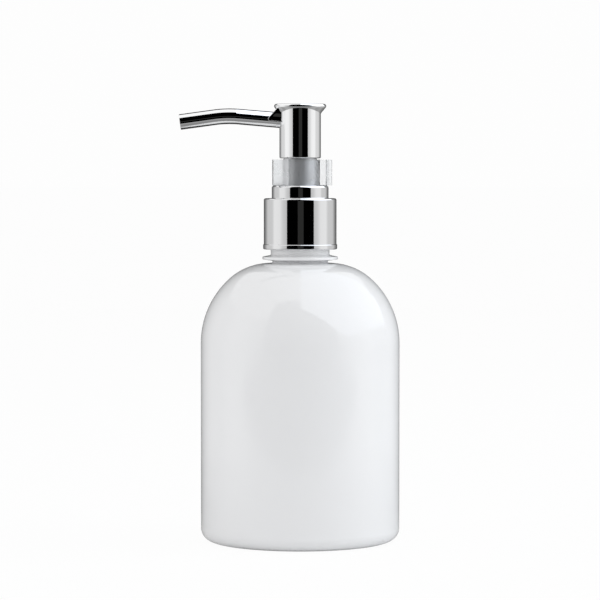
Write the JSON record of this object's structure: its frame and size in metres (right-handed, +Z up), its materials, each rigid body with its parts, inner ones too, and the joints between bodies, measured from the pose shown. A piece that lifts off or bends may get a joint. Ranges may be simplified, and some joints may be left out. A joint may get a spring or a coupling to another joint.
{
  "type": "pump bottle",
  "caption": "Round-shouldered white bottle with a chrome screw-on dispensing pump, a long bent spout and a clear clip under the head that locks the pump.",
  "frame": {"origin": "on the bottle's axis, at the plane of the ring it stands on", "axes": "+Z up along the bottle's axis, the spout points to -X at rest, the clip pulls off to +X"},
  "size_m": [0.0963, 0.0868, 0.1908],
  "materials": {
    "bottle_white": "glossy opaque white",
    "closure_white": "moulded white",
    "collar_chrome": "bright mirror finish",
    "seal_grey": "soft",
    "pump_natural": "moulded natural white",
    "spring_steel": "drawn wire",
    "ball_steel": "polished",
    "head_chrome": "bright mirror finish",
    "sleeve_chrome": "bright mirror finish",
    "spout_chrome": "bright mirror finish",
    "clip_clear": "clear, slightly hazy"
  },
  "bodies": {
    "bottle": {"bottle": "bottle_white"},
    "pump": {"housing": "pump_natural", "housing_cap": "pump_natural", "gasket": "seal_grey", "dip_tube": "pump_natural", "return_spring": "spring_steel"},
    "collar": {"closure": "closure_white", "collar_shell": "collar_chrome"},
    "plunger": {"piston": "pump_natural"},
    "head": {"stem": "pump_natural", "stem_sleeve": "sleeve_chrome", "head_shell": "head_chrome", "head_core": "closure_white", "spout": "spout_chrome"},
    "intake_ball": {"intake_ball": "ball_steel"},
    "outlet_ball": {"outlet_ball": "ball_steel"},
    "clip": {"lock_clip": "clip_clear"}
  },
  "joints": [
    {"name": "pump_lift", "type": "slide", "parent": "bottle", "child": "pump", "axis": [0, 0, 1], "range_m": [0, 0.00635]},
    {"name": "collar_turn", "type": "hinge", "parent": "pump", "child": "collar", "pos_m": [0, 0, 0.14], "axis": [0, 0, 1], "range_deg": [0, 540]},
    {"name": "head_press", "type": "slide", "parent": "pump", "child": "plunger", "axis": [0, 0, -1], "range_m": [0, 0.0113], "stiffness_N_per_m": 1000, "springref_m": -0.005, "deforming": ["return_spring"]},
    {"name": "head_turn", "type": "hinge", "parent": "plunger", "child": "head", "pos_m": [0, 0, 0.17], "axis": [0, 0, 1], "continuous": true},
    {"name": "intake_lift", "type": "slide", "parent": "pump", "child": "intake_ball", "axis": [0, 0, 1], "range_m": [0, 0.0015]},
    {"name": "outlet_lift", "type": "slide", "parent": "head", "child": "outlet_ball", "axis": [0, 0, 1], "range_m": [0, 0.0012]},
    {"name": "clip_pull", "type": "slide", "parent": "pump", "child": "clip", "axis": [1, 0, 0], "range_m": [0, 0.0452], "deforming": ["lock_clip"]}
  ],
  "couplings": [
    {"joint": "pump_lift", "follows": "collar_turn", "m_per_rad": 0.0006737},
    {"joint": "clip_pull", "follows": "head_press", "ratio": 4}
  ]
}
